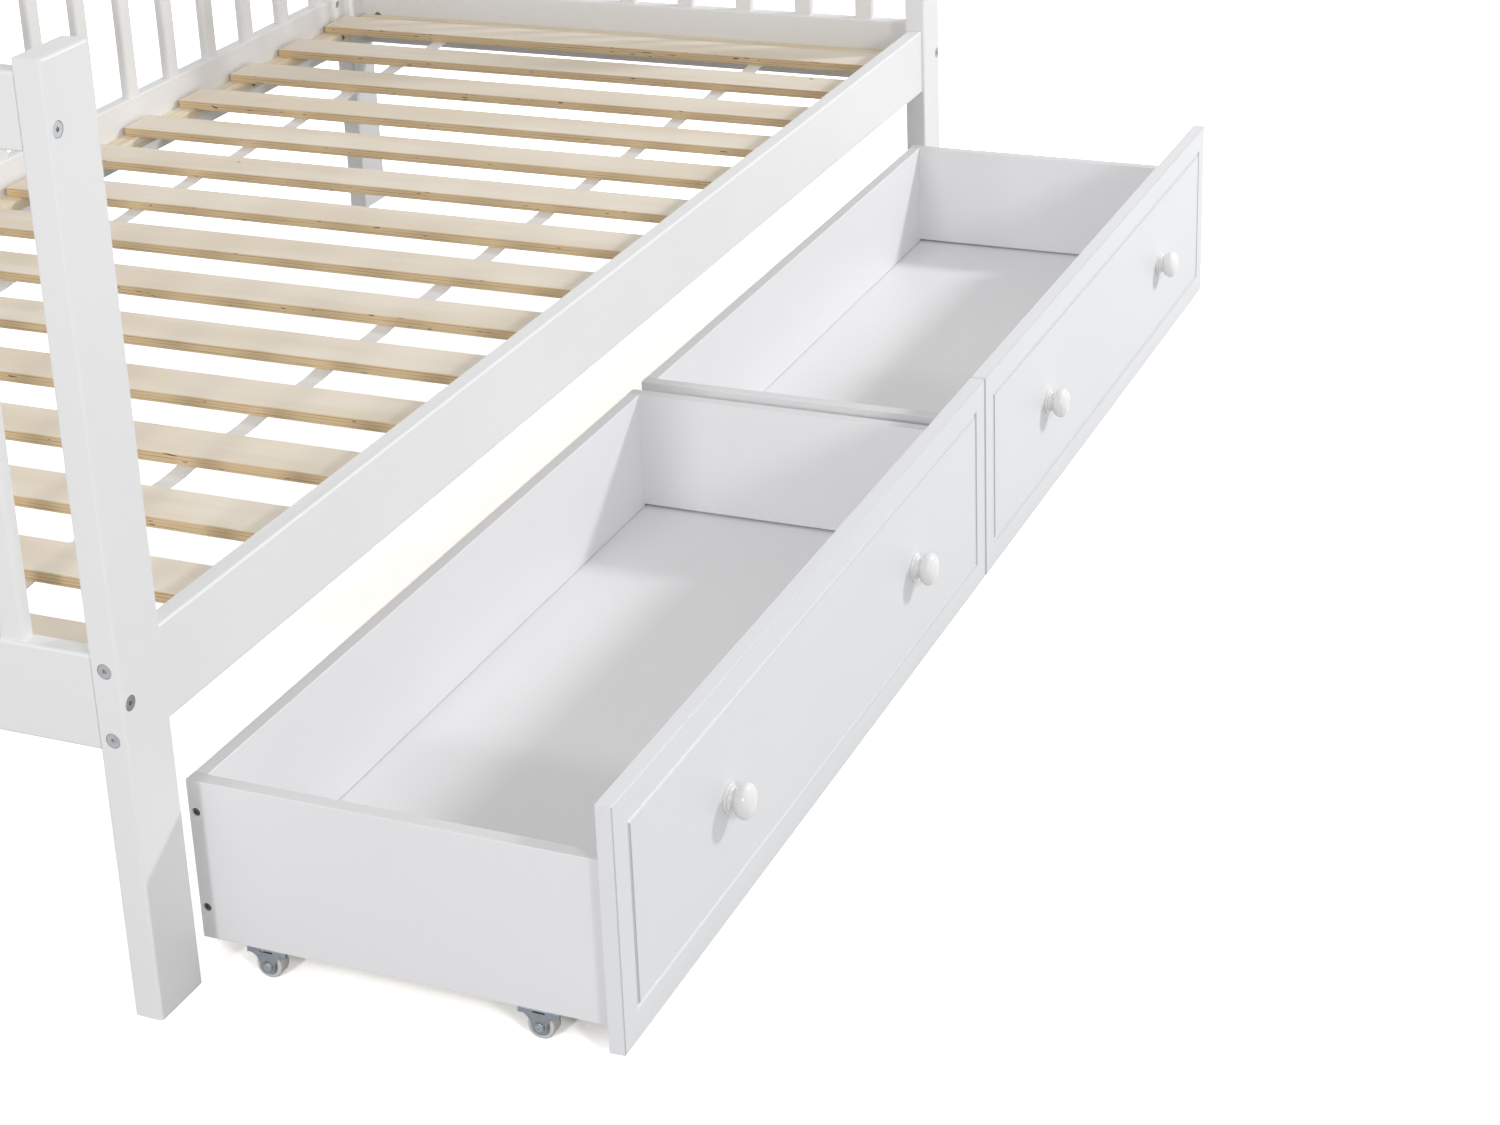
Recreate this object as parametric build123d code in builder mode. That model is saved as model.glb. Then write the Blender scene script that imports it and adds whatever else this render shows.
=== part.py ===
"""Daybed for a 90 x 200 cm mattress, with two storage drawers on castors that roll out of its front.

+X runs along the bed, -Y to the open front, +Z up, in millimetres. The origin is on the floor, at the
middle of the box round the bed and its drawers as they stand at rest, pulled out of the front.
"""

import os

from build123d import *

# Bed frame
bed_length = 2060.0
bed_depth = 950.0
bed_height = 850.0
post_width = 64.0
post_thickness = 28.0
post_edge_radius = 3.0

# Rails: the front rail and the lower rails of the back and the ends share one section
rail_thickness = 20.0
rail_height = 88.0
rail_floor_gap = 257.0
rail_edge_radius = 3.0
top_rail_height = 64.0
post_top_stand = 12.0
end_panel_setback = 1.5

# Spindles, each with a tenon at both ends
spindle_width = 27.0
spindle_thickness = 14.0
spindle_edge_radius = 5.0
tenon_width = 19.0
tenon_thickness = 9.0
tenon_length = 12.0
mortise_clearance = 0.2
back_spindle_count = 19
back_end_opening = 58.7
end_spindle_count = 9
end_end_opening = 65.0

# Connector bolts with barrel nuts
bolt_diameter = 6.0
bolt_hole_diameter = 7.0
bolt_head_diameter = 13.0
bolt_head_height = 2.5
bolt_head_recess = 3.0
bolt_head_clearance = 0.5
hex_key_size = 4.0
hex_key_depth = 1.8
bolt_pair_spacing = 64.0
top_bolt_offset = 14.0
nut_diameter = 10.0
nut_length = 14.0
nut_clearance = 0.2
nut_inset = 25.0
nut_floor = 3.0
bolt_end_past_nut = 3.0

# Slats on ledgers, linked by webbing
ledger_width = 29.0
ledger_height = 15.0
ledger_end_gap = 3.0
ledger_edge_radius = 1.5
slat_seat_height = 302.0
slat_count = 15
slat_width = 61.5
slat_thickness = 12.0
slat_edge_radius = 1.5
slat_end_gap = 6.5
slat_row_end_gap = 40.0
slat_row_shift = -19.0
webbing_width = 20.0
webbing_thickness = 1.5
webbing_spacing = 502.0

# Drawers
drawer_pull_out = 401.0
drawer_side_gap = 14.0
drawer_middle_gap = 4.0
front_thickness = 15.0
front_floor_gap = 10.5
front_top_gap = 12.5
front_edge_bevel = 1.0
line_inset = 27.0
line_width = 5.5
line_depth = 2.6
line_bevel = 2.4
panel_thickness = 14.0
panel_edge_radius = 0.8
box_depth = 396.0
box_side_inset = 9.5
box_height = 157.0
bottom_thickness = 5.0
bottom_lift = 15.0
groove_depth = 7.0
groove_clearance = 0.8
side_groove_clearance = 3.0
groove_end_clearance = 0.5
batten_width = 30.0
side_screw_hole = 8.0
side_screw_sink = 5.0
side_screw_edge = 31.0

# Turned knobs
knob_spacing = 490.0
knob_base_diameter = 28.0
knob_step_diameter = 24.0
knob_waist_diameter = 19.0
knob_head_diameter = 34.0
knob_projection = 25.0
knob_base_height = 2.5
knob_step_height = 2.5
knob_waist_height = 8.5
knob_rim_height = 17.0
head_fullness = 0.55

# Fixed castors
castor_height = 30.0
castor_plate_length = 39.0
castor_sheet = 1.5
castor_fold_radius = 1.4
castor_front_inset = 69.0
castor_back_inset = 63.0
castor_screw_hole = 4.0
castor_screw_spacing = 31.0
cheek_end_depth = 5.5
cheek_flare_reach = 15.0
cheek_boss_radius = 7.3
cheek_slot_length = 12.0
cheek_slot_height = 1.6
cheek_slot_drop = 2.0
wheel_radius = 12.5
wheel_width = 15.0
wheel_side_gap = 0.5
wheel_edge_radius = 1.5
wheel_web_recess = 2.0
wheel_rim = 3.5
wheel_hub_radius = 5.0
axle_diameter = 5.0
axle_running_clearance = 0.06
axle_head_diameter = 9.6
axle_head_height = 1.4
axle_head_clearance = 0.05

# Places that follow from the sizes above
overall_depth = knob_projection + drawer_pull_out + bed_depth
front_face_y = knob_projection - overall_depth / 2
post_front_y = front_face_y + drawer_pull_out
post_back_y = post_front_y + bed_depth
half_length = bed_length / 2
post_inner_x = half_length - post_width
front_rail_y = post_front_y + post_thickness / 2
back_rail_y = post_back_y - post_thickness / 2
end_panel_x = half_length - end_panel_setback - rail_thickness / 2
middle_y = (post_front_y + post_back_y) / 2
rail_top = rail_floor_gap + rail_height
rail_middle_z = rail_floor_gap + rail_height / 2
top_rail_top = bed_height - post_top_stand
top_rail_bottom = top_rail_top - top_rail_height
top_rail_middle_z = top_rail_top - top_rail_height / 2
long_rail_length = 2 * post_inner_x
end_rail_length = bed_depth - 2 * post_thickness
spindle_length = top_rail_bottom - rail_top
back_spindle_pitch = (long_rail_length - 2 * back_end_opening - spindle_width) / (back_spindle_count - 1)
end_spindle_pitch = (end_rail_length - 2 * end_end_opening - spindle_width) / (end_spindle_count - 1)
rail_pair_z = (rail_middle_z - bolt_pair_spacing / 2, rail_middle_z + bolt_pair_spacing / 2)
front_rail_inner_y = front_rail_y + rail_thickness / 2
back_rail_inner_y = back_rail_y - rail_thickness / 2
end_panel_inner_x = end_panel_x - rail_thickness / 2
nut_hole_depth = rail_thickness - nut_floor
back_top_bolt_z = top_rail_middle_z + top_bolt_offset
end_top_bolt_z = top_rail_middle_z - top_bolt_offset

os.makedirs("parts", exist_ok=True)


def save(builder, name):
    """Label a finished piece and write it to its own file."""
    builder.part.label = name
    export_step(builder.part, f"parts/{name}.step")


def facing(point, direction):
    """Location at a point whose Z axis looks along a direction, so holes are cut against it."""
    return Plane(origin=point, z_dir=direction).location


# Every bolt: the point on a post's face over its head, and the way it looks out.
# In the back posts the bolts of the two top rails cross, one above the other.
long_bolts = []
for side in (-1, 1):
    for rail_y, bolt_heights in (
        (front_rail_y, rail_pair_z),
        (back_rail_y, (*rail_pair_z, back_top_bolt_z)),
    ):
        for z in bolt_heights:
            long_bolts.append(((side * half_length, rail_y, z), (side, 0, 0)))
short_bolts = []
for side in (-1, 1):
    for post_face_y, outward in ((post_front_y, -1), (post_back_y, 1)):
        for z in (rail_middle_z, end_top_bolt_z):
            short_bolts.append(((side * end_panel_x, post_face_y, z), (0, outward, 0)))


def make_post(name, x_side, front_y):
    """Straight post of planed pine, its long edges rounded, that stands on the floor as a leg."""
    outer_x = x_side * half_length
    with BuildPart() as post:
        with BuildSketch(Plane.XZ.offset(-front_y - post_thickness)):
            with Locations((outer_x - x_side * post_width / 2, bed_height / 2)):
                Rectangle(post_width, bed_height)
        extrude(amount=post_thickness)
        face_edges = post.faces().filter_by(Axis.Y).edges()
        fillet(face_edges.filter_by(lambda edge: edge.center().Z > post_edge_radius), post_edge_radius)
        for head, outward in long_bolts + short_bolts:
            in_x = abs(head[0] - outer_x) <= post_width
            in_y = front_y <= head[1] <= front_y + post_thickness
            if in_x and in_y:
                with Locations(facing(head, outward)):
                    CounterBoreHole(
                        bolt_hole_diameter / 2,
                        bolt_head_diameter / 2 + bolt_head_clearance,
                        bolt_head_recess,
                        depth=post_width + bolt_head_recess,
                    )
    save(post, name)


make_post("front_left_post", -1, post_front_y)
make_post("front_right_post", 1, post_front_y)
make_post("back_left_post", -1, post_back_y - post_thickness)
make_post("back_right_post", 1, post_back_y - post_thickness)


def make_rail(name, middle, along, inward, length, height, bolt_heights, spindles=None):
    """Rail between two posts: rounded long edges, a hole in each end for every bolt, a cross hole for
    its barrel nut on the inner face, and mortises where spindles stand in it.
    spindles is (count, pitch, side) with side +1 for mortises in the top edge and -1 for the bottom.
    """
    frame = Plane(origin=middle, x_dir=along, z_dir=inward)
    rise = 1 if frame.y_dir.Z > 0 else -1
    with BuildPart() as rail:
        with BuildSketch(frame):
            Rectangle(length, height)
        extrude(amount=rail_thickness / 2, both=True)
        fillet(rail.edges().filter_by(Axis(middle, along)), rail_edge_radius)
        for end in (-1, 1):
            for z in bolt_heights:
                lift = rise * (z - middle[2])
                end_point = frame.from_local_coords((end * length / 2, lift, 0))
                outward = frame.x_dir * end
                with Locations(facing(end_point, outward)):
                    Hole(bolt_hole_diameter / 2, depth=nut_inset + nut_diameter)
                nut_x = end * (length / 2 - nut_inset)
                nut_point = frame.from_local_coords((nut_x, lift, rail_thickness / 2))
                with Locations(facing(nut_point, frame.z_dir)):
                    Hole(nut_diameter / 2 + nut_clearance, depth=nut_hole_depth)
        if spindles:
            count, pitch, side = spindles
            edge_point = Vector(middle) + Vector(0, 0, side * height / 2)
            with BuildSketch(Plane(origin=edge_point, x_dir=along, z_dir=(0, 0, side))):
                with GridLocations(pitch, pitch, count, 1):
                    Rectangle(tenon_width + 2 * mortise_clearance, tenon_thickness + 2 * mortise_clearance)
            extrude(amount=-tenon_length - mortise_clearance, mode=Mode.SUBTRACT)
    save(rail, name)


def make_spindles(name, middle, along, count, pitch):
    """Row of flat spindles with rounded edges, standing with their tenons in the two rails."""
    with BuildPart() as row:
        with BuildSketch(Plane(origin=(*middle, rail_top), x_dir=along, z_dir=(0, 0, 1))):
            with GridLocations(pitch, pitch, count, 1):
                RectangleRounded(spindle_width, spindle_thickness, spindle_edge_radius)
        extrude(amount=spindle_length)
        with BuildSketch(Plane(origin=(*middle, rail_top - tenon_length), x_dir=along, z_dir=(0, 0, 1))):
            with GridLocations(pitch, pitch, count, 1):
                Rectangle(tenon_width, tenon_thickness)
        extrude(amount=spindle_length + 2 * tenon_length)
    save(row, name)


# Front rail, open above
make_rail(
    "front_rail",
    (0, front_rail_y, rail_middle_z),
    (1, 0, 0),
    (0, 1, 0),
    long_rail_length,
    rail_height,
    rail_pair_z,
)

# Back panel: lower rail, spindles, top rail
make_rail(
    "back_lower_rail",
    (0, back_rail_y, rail_middle_z),
    (1, 0, 0),
    (0, -1, 0),
    long_rail_length,
    rail_height,
    rail_pair_z,
    (back_spindle_count, back_spindle_pitch, 1),
)
make_rail(
    "back_top_rail",
    (0, back_rail_y, top_rail_middle_z),
    (1, 0, 0),
    (0, -1, 0),
    long_rail_length,
    top_rail_height,
    (back_top_bolt_z,),
    (back_spindle_count, back_spindle_pitch, -1),
)
make_spindles("back_spindles", (0, back_rail_y), (1, 0, 0), back_spindle_count, back_spindle_pitch)

# End panels, alike at the left and the right
for end_name, side in (("left", -1), ("right", 1)):
    panel_x = side * end_panel_x
    make_rail(
        f"{end_name}_end_lower_rail",
        (panel_x, middle_y, rail_middle_z),
        (0, 1, 0),
        (-side, 0, 0),
        end_rail_length,
        rail_height,
        (rail_middle_z,),
        (end_spindle_count, end_spindle_pitch, 1),
    )
    make_rail(
        f"{end_name}_end_top_rail",
        (panel_x, middle_y, top_rail_middle_z),
        (0, 1, 0),
        (-side, 0, 0),
        end_rail_length,
        top_rail_height,
        (end_top_bolt_z,),
        (end_spindle_count, end_spindle_pitch, -1),
    )
    make_spindles(
        f"{end_name}_end_spindles", (panel_x, middle_y), (0, 1, 0), end_spindle_count, end_spindle_pitch
    )


def make_bolt(post_size):
    """Connector bolt along Z: its flat head seats at the origin, its shank runs down into the rail."""
    shank = post_size - bolt_head_recess + nut_inset + nut_diameter / 2 + bolt_end_past_nut
    with BuildPart() as bolt:
        Cylinder(bolt_head_diameter / 2, bolt_head_height, align=(Align.CENTER, Align.CENTER, Align.MIN))
        Cylinder(bolt_diameter / 2, shank, align=(Align.CENTER, Align.CENTER, Align.MAX))
        with BuildSketch(Plane.XY.offset(bolt_head_height)):
            RegularPolygon(hex_key_size / 2, 6, major_radius=False)
        extrude(amount=-hex_key_depth, mode=Mode.SUBTRACT)
    return bolt.part


def make_nut():
    """Barrel nut: a steel cylinder along Z, with the bolt's hole across it along X."""
    with BuildPart() as nut:
        Cylinder(nut_diameter / 2, nut_length)
        with Locations(Location((0, 0, 0), (0, 90, 0))):
            Hole(bolt_diameter / 2 + nut_clearance)
    return nut.part


# Bolts and barrel nuts of the whole frame
long_bolt = make_bolt(post_width)
short_bolt = make_bolt(post_thickness)
with BuildPart() as frame_bolts:
    for bolt, places in ((long_bolt, long_bolts), (short_bolt, short_bolts)):
        for head, outward in places:
            seat = Vector(head) - Vector(outward) * bolt_head_recess
            with Locations(facing(seat, outward)):
                add(bolt)
save(frame_bolts, "frame_bolts")

barrel_nut = make_nut()
nut_sink = nut_hole_depth - nut_length / 2
with BuildPart() as barrel_nuts:
    for head, outward in long_bolts:
        inward_y = 1 if head[1] == front_rail_y else -1
        nut_x = outward[0] * (post_inner_x - nut_inset)
        nut_y = head[1] + inward_y * (rail_thickness / 2 - nut_sink)
        with Locations(Plane(origin=(nut_x, nut_y, head[2]), x_dir=(1, 0, 0), z_dir=(0, 1, 0)).location):
            add(barrel_nut)
    for head, outward in short_bolts:
        side = 1 if head[0] > 0 else -1
        nut_x = head[0] - side * (rail_thickness / 2 - nut_sink)
        nut_y = middle_y + outward[1] * (end_rail_length / 2 - nut_inset)
        with Locations(Plane(origin=(nut_x, nut_y, head[2]), x_dir=(0, 1, 0), z_dir=(1, 0, 0)).location):
            add(barrel_nut)
save(barrel_nuts, "barrel_nuts")


def make_ledger(name, low, size, along):
    """Batten of raw wood fixed to the inside of a rail, with softened long edges."""
    with BuildPart() as ledger:
        with Locations(low):
            Box(*size, align=(Align.MIN, Align.MIN, Align.MIN))
        fillet(ledger.edges().filter_by(along), ledger_edge_radius)
    save(ledger, name)


ledger_bottom = slat_seat_height - ledger_height
long_ledger_half = post_inner_x - ledger_end_gap
end_ledger_length = end_rail_length - 2 * ledger_end_gap
make_ledger(
    "front_ledger",
    (-long_ledger_half, front_rail_inner_y, ledger_bottom),
    (2 * long_ledger_half, ledger_width, ledger_height),
    Axis.X,
)
make_ledger(
    "back_ledger",
    (-long_ledger_half, back_rail_inner_y - ledger_width, ledger_bottom),
    (2 * long_ledger_half, ledger_width, ledger_height),
    Axis.X,
)
for end_name, low_x in (("left", -end_panel_inner_x), ("right", end_panel_inner_x - ledger_width)):
    make_ledger(
        f"{end_name}_end_ledger",
        (low_x, middle_y - end_ledger_length / 2, ledger_bottom),
        (ledger_width, end_ledger_length, ledger_height),
        Axis.Y,
    )

# Slats of laminated wood, laid loose across the ledgers at an even pitch, a little nearer the left end
slat_length = back_rail_inner_y - front_rail_inner_y - 2 * slat_end_gap
slat_row_half = end_panel_inner_x - slat_row_end_gap - slat_width / 2
slat_pitch = 2 * slat_row_half / (slat_count - 1)
slat_middle_z = slat_seat_height + slat_thickness / 2
for number in range(slat_count):
    slat_x = slat_row_shift - slat_row_half + number * slat_pitch
    with BuildPart() as slat:
        with BuildSketch(Plane(origin=(slat_x, middle_y, slat_middle_z), x_dir=(1, 0, 0), z_dir=(0, -1, 0))):
            RectangleRounded(slat_width, slat_thickness, slat_edge_radius)
        extrude(amount=slat_length / 2, both=True)
    save(slat, f"slat_{number + 1:02d}")

# Two strips of webbing under the slats, from the first slat to the last
with BuildPart() as slat_webbing:
    with Locations((slat_row_shift, middle_y, slat_seat_height)):
        with GridLocations(webbing_spacing, webbing_spacing, 1, 2):
            Box(
                2 * slat_row_half,
                webbing_width,
                webbing_thickness,
                align=(Align.CENTER, Align.CENTER, Align.MAX),
            )
save(slat_webbing, "slat_webbing")


# Drawer sizes that follow from the bed and the castors
front_length = post_inner_x - drawer_side_gap - drawer_middle_gap / 2
front_height = rail_floor_gap - front_top_gap - front_floor_gap
front_middle_z = front_floor_gap + front_height / 2
box_front_y = front_face_y + front_thickness
box_back_y = box_front_y + box_depth
box_inner_back_y = box_back_y - panel_thickness
box_middle_y = (box_front_y + box_back_y) / 2
box_width = front_length - 2 * box_side_inset
box_inner_width = box_width - 2 * panel_thickness
box_bottom = castor_height
box_top = box_bottom + box_height
bottom_low = box_bottom + bottom_lift
groove_height = bottom_thickness + groove_clearance
side_groove_height = bottom_thickness + side_groove_clearance
axle_z = wheel_radius
castor_plate_width = wheel_width + 2 * (wheel_side_gap + castor_sheet)


def make_drawer_front(name, middle_x):
    """Front panel: bevelled edges, a V-shaped routed line round its face, a groove behind for the bottom."""
    line_floor_inset = line_inset + line_bevel
    line_floor_width = line_width - 2 * line_bevel
    with BuildPart() as front:
        with BuildSketch(Plane.XZ.offset(-box_front_y)):
            with Locations((middle_x, front_middle_z)):
                Rectangle(front_length, front_height)
        extrude(amount=front_thickness)
        with BuildSketch(Plane.XZ.offset(-front_face_y)):
            with Locations((middle_x, front_middle_z)):
                Rectangle(front_length - 2 * line_floor_inset, front_height - 2 * line_floor_inset)
                Rectangle(
                    front_length - 2 * (line_floor_inset + line_floor_width),
                    front_height - 2 * (line_floor_inset + line_floor_width),
                    mode=Mode.SUBTRACT,
                )
        extrude(amount=-line_depth, mode=Mode.SUBTRACT)
        field, rim = front.faces().filter_by(Axis.Y).group_by(Axis.Y)[0].sort_by(
            lambda face: len(face.inner_wires())
        )
        line_edges = field.outer_wire().edges() + rim.inner_wires()[0].edges()
        panel_edges = rim.outer_wire().edges()
        chamfer(line_edges, line_bevel)
        chamfer(panel_edges, front_edge_bevel)
        with Locations((middle_x, box_front_y - groove_depth, bottom_low)):
            Box(
                box_inner_width + 2 * groove_depth,
                2 * groove_depth,
                groove_height,
                align=(Align.CENTER, Align.MIN, Align.MIN),
                mode=Mode.SUBTRACT,
            )
    save(front, name)


def make_drawer_side(name, outer_x, inward):
    """Side panel from the front to the back's outer face, with a loose groove inside for the bottom and
    two sunk holes outside for the screws that hold the back.
    """
    with BuildPart() as panel:
        with Locations((outer_x + inward * panel_thickness / 2, box_middle_y, box_bottom)):
            Box(panel_thickness, box_depth, box_height, align=(Align.CENTER, Align.CENTER, Align.MIN))
        top_edges = panel.faces().sort_by(Axis.Z)[-1].edges().filter_by(Axis.Y)
        fillet(top_edges, panel_edge_radius)
        with Locations((outer_x + inward * panel_thickness, box_front_y, bottom_low)):
            Box(
                2 * groove_depth,
                box_depth - panel_thickness + groove_depth,
                side_groove_height,
                align=(Align.CENTER, Align.MIN, Align.MIN),
                mode=Mode.SUBTRACT,
            )
        for screw_z in (box_bottom + side_screw_edge, box_top - side_screw_edge):
            with Locations(facing((outer_x, box_back_y - panel_thickness / 2, screw_z), (-inward, 0, 0))):
                Hole(side_screw_hole / 2, depth=side_screw_sink)
    save(panel, name)


def make_drawer_back(name, middle_x):
    """Back panel between the two sides, grooved inside for the bottom."""
    with BuildPart() as panel:
        with Locations((middle_x, box_inner_back_y, box_bottom)):
            Box(box_inner_width, panel_thickness, box_height, align=(Align.CENTER, Align.MIN, Align.MIN))
        top_edges = panel.faces().sort_by(Axis.Z)[-1].edges().filter_by(Axis.X)
        fillet(top_edges, panel_edge_radius)
        with Locations((middle_x, box_inner_back_y, bottom_low)):
            Box(
                box_inner_width,
                2 * groove_depth,
                groove_height,
                align=(Align.CENTER, Align.CENTER, Align.MIN),
                mode=Mode.SUBTRACT,
            )
    save(panel, name)


def make_drawer_bottom(name, middle_x):
    """Thin bottom panel, let into the grooves of front, sides and back."""
    reach = groove_depth - groove_end_clearance
    with BuildPart() as bottom:
        with Locations((middle_x, box_front_y - reach, bottom_low)):
            Box(
                box_inner_width + 2 * reach,
                box_depth - panel_thickness + 2 * reach,
                bottom_thickness,
                align=(Align.CENTER, Align.MIN, Align.MIN),
            )
    save(bottom, name)


def make_castor_battens(name, middle_x):
    """Two battens under the bottom, along the sides, that carry the inner edge of the castor plates."""
    with BuildPart() as battens:
        with Locations((middle_x, box_front_y, box_bottom)):
            with GridLocations(box_inner_width - batten_width, batten_width, 2, 1):
                Box(
                    batten_width,
                    box_depth - panel_thickness,
                    bottom_lift,
                    align=(Align.CENTER, Align.MIN, Align.MIN),
                )
    save(battens, name)


def make_knob():
    """Turned knob along Z, its base at the origin: two rings, a hollowed neck and a full, round head."""
    step_top = knob_base_height + knob_step_height
    waist_radius = knob_waist_diameter / 2
    rim_radius = knob_head_diameter / 2
    brim = rim_radius - waist_radius
    under_height = knob_rim_height - knob_waist_height
    dome_height = knob_projection - knob_rim_height
    with BuildPart() as knob:
        with BuildSketch(Plane.XZ):
            with BuildLine():
                base = Polyline(
                    (0, 0),
                    (knob_base_diameter / 2, 0),
                    (knob_base_diameter / 2, knob_base_height),
                    (knob_step_diameter / 2, knob_base_height),
                    (knob_step_diameter / 2, step_top),
                )
                neck = Bezier(
                    base @ 1,
                    (waist_radius, step_top),
                    (waist_radius, knob_waist_height),
                )
                under = Bezier(
                    neck @ 1,
                    (waist_radius + head_fullness * brim, knob_waist_height),
                    (rim_radius, knob_rim_height - head_fullness * under_height),
                    (rim_radius, knob_rim_height),
                )
                dome = Bezier(
                    under @ 1,
                    (rim_radius, knob_rim_height + head_fullness * dome_height),
                    (rim_radius * head_fullness, knob_projection),
                    (0, knob_projection),
                )
                Line(dome @ 1, base @ 0)
            make_face()
        revolve(axis=Axis.Z)
    return knob.part


def make_castor_fork():
    """Pressed steel fork with its riveted axle, wheel centre at the origin, wheel axis along X.
    One strip folded to a U: the plate on top, a cheek down each long edge. Each cheek is straight at
    the plate's ends, sweeps in to a round boss at the axle, and has a slot just under its fold.
    """
    plate_top = castor_height - axle_z
    plate_low = plate_top - castor_sheet
    cheek_half = castor_plate_length / 2
    cheek_end = plate_top - cheek_end_depth
    gap_half = wheel_width / 2 + wheel_side_gap
    with BuildPart() as fork:
        with BuildSketch(Plane.XY.offset(plate_low)):
            Rectangle(castor_plate_width, castor_plate_length)
            with GridLocations(castor_screw_spacing, castor_screw_spacing, 1, 2):
                Circle(castor_screw_hole / 2, mode=Mode.SUBTRACT)
        extrude(amount=castor_sheet)
        with BuildSketch(Plane.YZ.offset(gap_half)):
            with BuildLine():
                Polyline(
                    (-cheek_flare_reach, cheek_end),
                    (-cheek_half, cheek_end),
                    (-cheek_half, plate_low),
                    (cheek_half, plate_low),
                    (cheek_half, cheek_end),
                    (cheek_flare_reach, cheek_end),
                )
                ThreePointArc((cheek_boss_radius, 0), (0, -cheek_boss_radius), (-cheek_boss_radius, 0))
                for side in (-1, 1):
                    TangentArc(
                        (side * cheek_boss_radius, 0),
                        (side * cheek_flare_reach, cheek_end),
                        tangent=(0, 1),
                    )
            make_face()
            Circle(axle_diameter / 2 + axle_running_clearance, mode=Mode.SUBTRACT)
            with Locations((0, plate_top - cheek_slot_drop)):
                Rectangle(
                    cheek_slot_length,
                    cheek_slot_height,
                    align=(Align.CENTER, Align.MAX),
                    mode=Mode.SUBTRACT,
                )
        extrude(amount=castor_sheet)
        mirror(about=Plane.YZ)
        fillet(fork.edges().filter_by(Axis.Y).group_by(Axis.Z)[-1], castor_fold_radius)
    rivet_reach = gap_half + castor_sheet + axle_head_clearance
    with BuildPart() as axle:
        with Locations(Location((0, 0, 0), (0, 90, 0))):
            Cylinder(axle_diameter / 2, 2 * rivet_reach)
        for side in (-1, 1):
            with BuildSketch(Plane.YZ.offset(side * rivet_reach)):
                Circle(axle_head_diameter / 2)
            extrude(amount=side * axle_head_height)
        rims = axle.edges().group_by(Axis.X)
        fillet(rims[0] + rims[-1], axle_head_height / 2)
    return fork.part, axle.part


def make_castor_wheel():
    """Moulded wheel round X with its centre at the origin: a rim, a recessed web and a bored hub."""
    bore = axle_diameter / 2 + axle_running_clearance
    rim_inner = wheel_radius - wheel_rim
    half = wheel_width / 2
    web_half = half - wheel_web_recess
    with BuildPart() as wheel:
        with BuildSketch(Plane.XZ):
            with BuildLine():
                Polyline(
                    (0, bore),
                    (half, bore),
                    (half, wheel_hub_radius),
                    (web_half, wheel_hub_radius),
                    (web_half, rim_inner),
                    (half, rim_inner),
                    (half, wheel_radius),
                    (0, wheel_radius),
                    close=True,
                )
            make_face()
            mirror(about=Plane.YZ)
        revolve(axis=Axis.X)
        tread = wheel.faces().filter_by(GeomType.CYLINDER).sort_by(SortBy.AREA)[-1]
        fillet(tread.edges().filter_by(GeomType.CIRCLE), wheel_edge_radius)
    return wheel.part


turned_knob = make_knob()
castor_fork, castor_axle = make_castor_fork()
castor_wheel = make_castor_wheel()
castor_rows = (
    ("front", box_front_y + castor_front_inset),
    ("back", box_back_y - castor_back_inset),
)

# The two drawers, at rest in front of the bed
for drawer_name, side in (("left", -1), ("right", 1)):
    middle_x = side * (drawer_middle_gap + front_length) / 2
    make_drawer_front(f"{drawer_name}_drawer_front", middle_x)
    make_drawer_side(f"{drawer_name}_drawer_left_side", middle_x - box_width / 2, 1)
    make_drawer_side(f"{drawer_name}_drawer_right_side", middle_x + box_width / 2, -1)
    make_drawer_back(f"{drawer_name}_drawer_back", middle_x)
    make_drawer_bottom(f"{drawer_name}_drawer_bottom", middle_x)
    make_castor_battens(f"{drawer_name}_drawer_castor_battens", middle_x)
    with BuildPart() as knobs:
        for knob_side in (-1, 1):
            knob_x = middle_x + knob_side * knob_spacing / 2
            with Locations(facing((knob_x, front_face_y, front_middle_z), (0, -1, 0))):
                add(turned_knob)
    save(knobs, f"{drawer_name}_drawer_knobs")
    castor_spread = box_width - castor_plate_width
    with BuildPart() as forks:
        for wheel_side in (-1, 1):
            for row_name, castor_y in castor_rows:
                with Locations((middle_x + wheel_side * castor_spread / 2, castor_y, axle_z)):
                    add(castor_fork)
                    add(castor_axle)
    save(forks, f"{drawer_name}_drawer_castor_forks")
    for wheel_side, side_name in ((-1, "left"), (1, "right")):
        for row_name, castor_y in castor_rows:
            with BuildPart() as placed_wheel:
                with Locations((middle_x + wheel_side * castor_spread / 2, castor_y, axle_z)):
                    add(castor_wheel)
            save(placed_wheel, f"{drawer_name}_drawer_{row_name}_{side_name}_wheel")
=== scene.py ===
"""Looks of a white daybed with two storage drawers on castors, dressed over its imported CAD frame."""

import math

import bmesh
import bpy
from mathutils import Matrix, Quaternion, Vector
from mathutils.geometry import interpolate_bezier


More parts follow.
